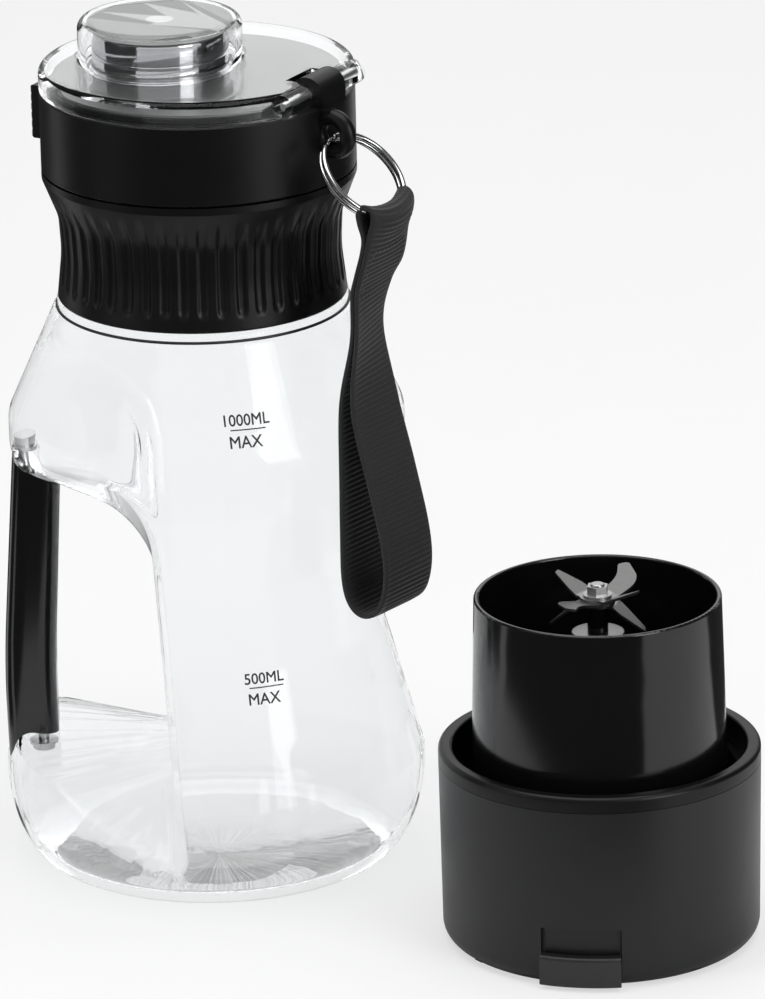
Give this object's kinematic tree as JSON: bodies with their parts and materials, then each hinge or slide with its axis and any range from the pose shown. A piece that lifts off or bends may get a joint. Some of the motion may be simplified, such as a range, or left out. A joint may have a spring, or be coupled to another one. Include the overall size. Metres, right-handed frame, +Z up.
{
  "type": "portable blender",
  "caption": "Cordless portable blender standing in two pieces: a clear jug with grip, hinged spout lid and wrist strap, and its motor unit with blade cup.",
  "frame": {"origin": "centre of the jug's flat foot, on the surface it stands on", "axes": "+Z up along the jug's axis; the handle grip is on -X; the motor unit stands towards +X and -Y"},
  "size_m": [0.2117, 0.1823, 0.2467],
  "materials": {
    "clear_plastic": "clear moulded plastic, smooth",
    "satin_black": "satin black moulded plastic",
    "gloss_black": "glossy black moulded plastic",
    "charcoal_shell": "satin charcoal moulded plastic",
    "deck_metal": "brushed light alloy",
    "chrome_part": "polished",
    "blade_steel": "ground stainless steel",
    "plain_steel": "machined steel",
    "grey_seal": "translucent grey silicone",
    "black_seal": "black silicone",
    "webbing": "ribbed black webbing",
    "cell_wrap": "shrink sleeve",
    "board": "coated circuit board",
    "inner_plastic": "moulded inner plastic"
  },
  "bodies": {
    "jug_body": {"jug": "clear_plastic", "handle_grip": "gloss_black", "grip_screws": "plain_steel", "grip_washers": "plain_steel", "neck_collar": "satin_black"},
    "lid_carrier": {"neck_gasket": "grey_seal"},
    "lid_body": {"lid_base": "satin_black", "deck_plate": "deck_metal", "spout": "chrome_part", "hinge_pin": "plain_steel", "latch_spring": "plain_steel"},
    "opening_lid": {"flip_lid": "clear_plastic", "spout_seal": "grey_seal"},
    "latch": {"latch_button": "satin_black"},
    "ring_body": {"split_ring": "chrome_part"},
    "strap_body": {"carry_strap": "webbing"},
    "motor_unit": {"motor_shell": "charcoal_shell", "thread_ring": "satin_black", "ring_gasket": "black_seal", "blade_cup": "gloss_black", "bearing_tower": "gloss_black", "lower_bearing": "plain_steel", "upper_bearing": "plain_steel", "shaft_seal": "black_seal", "seal_cap": "blade_steel", "motor_can": "plain_steel", "motor_end_cap": "inner_plastic", "motor_bracket": "plain_steel", "bracket_screws": "plain_steel", "battery_cell_left": "cell_wrap", "battery_cell_right": "cell_wrap", "cell_cradle": "inner_plastic", "circuit_board": "board", "charging_socket": "plain_steel", "button_switch": "inner_plastic", "button_spring": "plain_steel"},
    "blade_set": {"blade_shaft": "plain_steel", "blade_spacer": "gloss_black", "down_blade": "blade_steel", "sickle_blade": "blade_steel", "up_blade": "blade_steel", "blade_washer": "plain_steel", "blade_nut": "plain_steel", "drive_coupling": "inner_plastic", "rotor": "plain_steel"},
    "power_button_body": {"power_button": "satin_black"},
    "cover_body": {"port_cover": "black_seal"}
  },
  "joints": [
    {"name": "lid_lift", "type": "slide", "parent": "jug_body", "child": "lid_carrier", "axis": [0, 0, 1], "range_m": [0, 0.0076]},
    {"name": "lid_turn", "type": "hinge", "parent": "lid_carrier", "child": "lid_body", "pos_m": [0, 0, 0.2265], "axis": [0, 0, 1], "range_deg": [0, 150]},
    {"name": "lid_flip", "type": "hinge", "parent": "lid_body", "child": "opening_lid", "pos_m": [0.03369, -0.02024, 0.2315], "axis": [0.515, 0.8572, 0], "range_deg": [0, 110]},
    {"name": "latch_press", "type": "slide", "parent": "lid_body", "child": "latch", "axis": [0.8572, -0.515, 0], "range_m": [0, 0.0013], "stiffness_N_per_m": 500, "springref_m": -0.002, "deforming": ["latch_spring"]},
    {"name": "ring_swing", "type": "hinge", "parent": "lid_body", "child": "ring_body", "pos_m": [0.03759, -0.02937, 0.2203], "axis": [-0.6157, -0.788, 0], "range_deg": [0, 70]},
    {"name": "strap_swing", "type": "hinge", "parent": "ring_body", "child": "strap_body", "pos_m": [0.05256, -0.04106, 0.2007], "axis": [0.6157, 0.788, 0], "range_deg": [0, 70]},
    {"name": "unit_lift", "type": "slide", "parent": "jug_body", "child": "motor_unit", "axis": [0, 0, 1], "range_m": [0, 0.25]},
    {"name": "blade_spin", "type": "hinge", "parent": "motor_unit", "child": "blade_set", "pos_m": [0.1066, -0.075, 0.0985], "axis": [0, 0, 1], "continuous": true},
    {"name": "power_press", "type": "slide", "parent": "motor_unit", "child": "power_button_body", "axis": [0, 0, 1], "range_m": [0, 0.0006], "stiffness_N_per_m": 500, "springref_m": -0.001, "deforming": ["button_spring"]},
    {"name": "cover_open", "type": "hinge", "parent": "motor_unit", "child": "cover_body", "pos_m": [0.09823, -0.11972, 0.0025], "axis": [0.9829, -0.184, 0], "range_deg": [0, 90]}
  ],
  "couplings": [
    {"joint": "lid_lift", "follows": "lid_turn", "m_per_rad": 0.0028648},
    {"joint": "strap_swing", "follows": "ring_swing", "ratio": 1}
  ]
}
